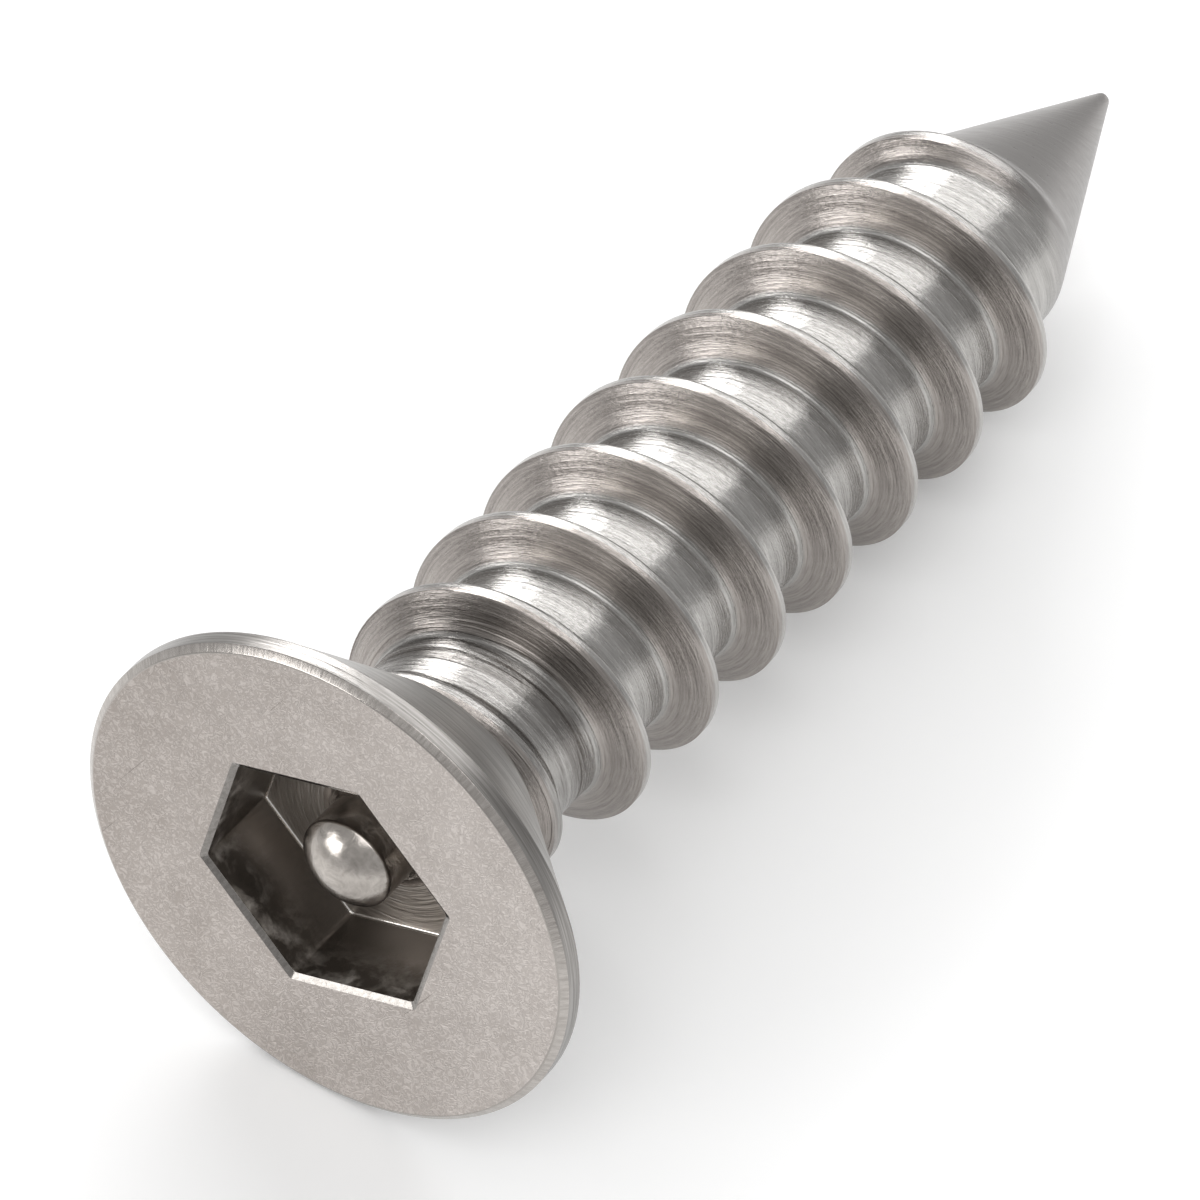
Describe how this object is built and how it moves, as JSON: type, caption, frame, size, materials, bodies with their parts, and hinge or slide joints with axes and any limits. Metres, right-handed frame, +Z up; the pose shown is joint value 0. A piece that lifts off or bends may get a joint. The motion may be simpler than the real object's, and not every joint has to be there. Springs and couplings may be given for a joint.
{
  "type": "countersunk socket screw",
  "caption": "Self-tapping countersunk screw with a hexagon socket, a tamper-resistant centre pin, a coarse rolled thread and a cone point, lying at rest on its head and thread.",
  "frame": {"origin": "bottom centre of the bounding box, on the surface that the screw lies on", "axes": "+X along the screw from head to point, level; +Z up; the screw's own axis lies in the XZ plane and dips 6.8 degrees towards the point"},
  "size_m": [0.0286, 0.0112, 0.0112],
  "materials": {
    "stainless_steel": "plain stainless steel, satin and lightly scratched on the face, smoother on the shank"
  },
  "bodies": {
    "root": {"screw": "stainless_steel"}
  },
  "joints": []
}
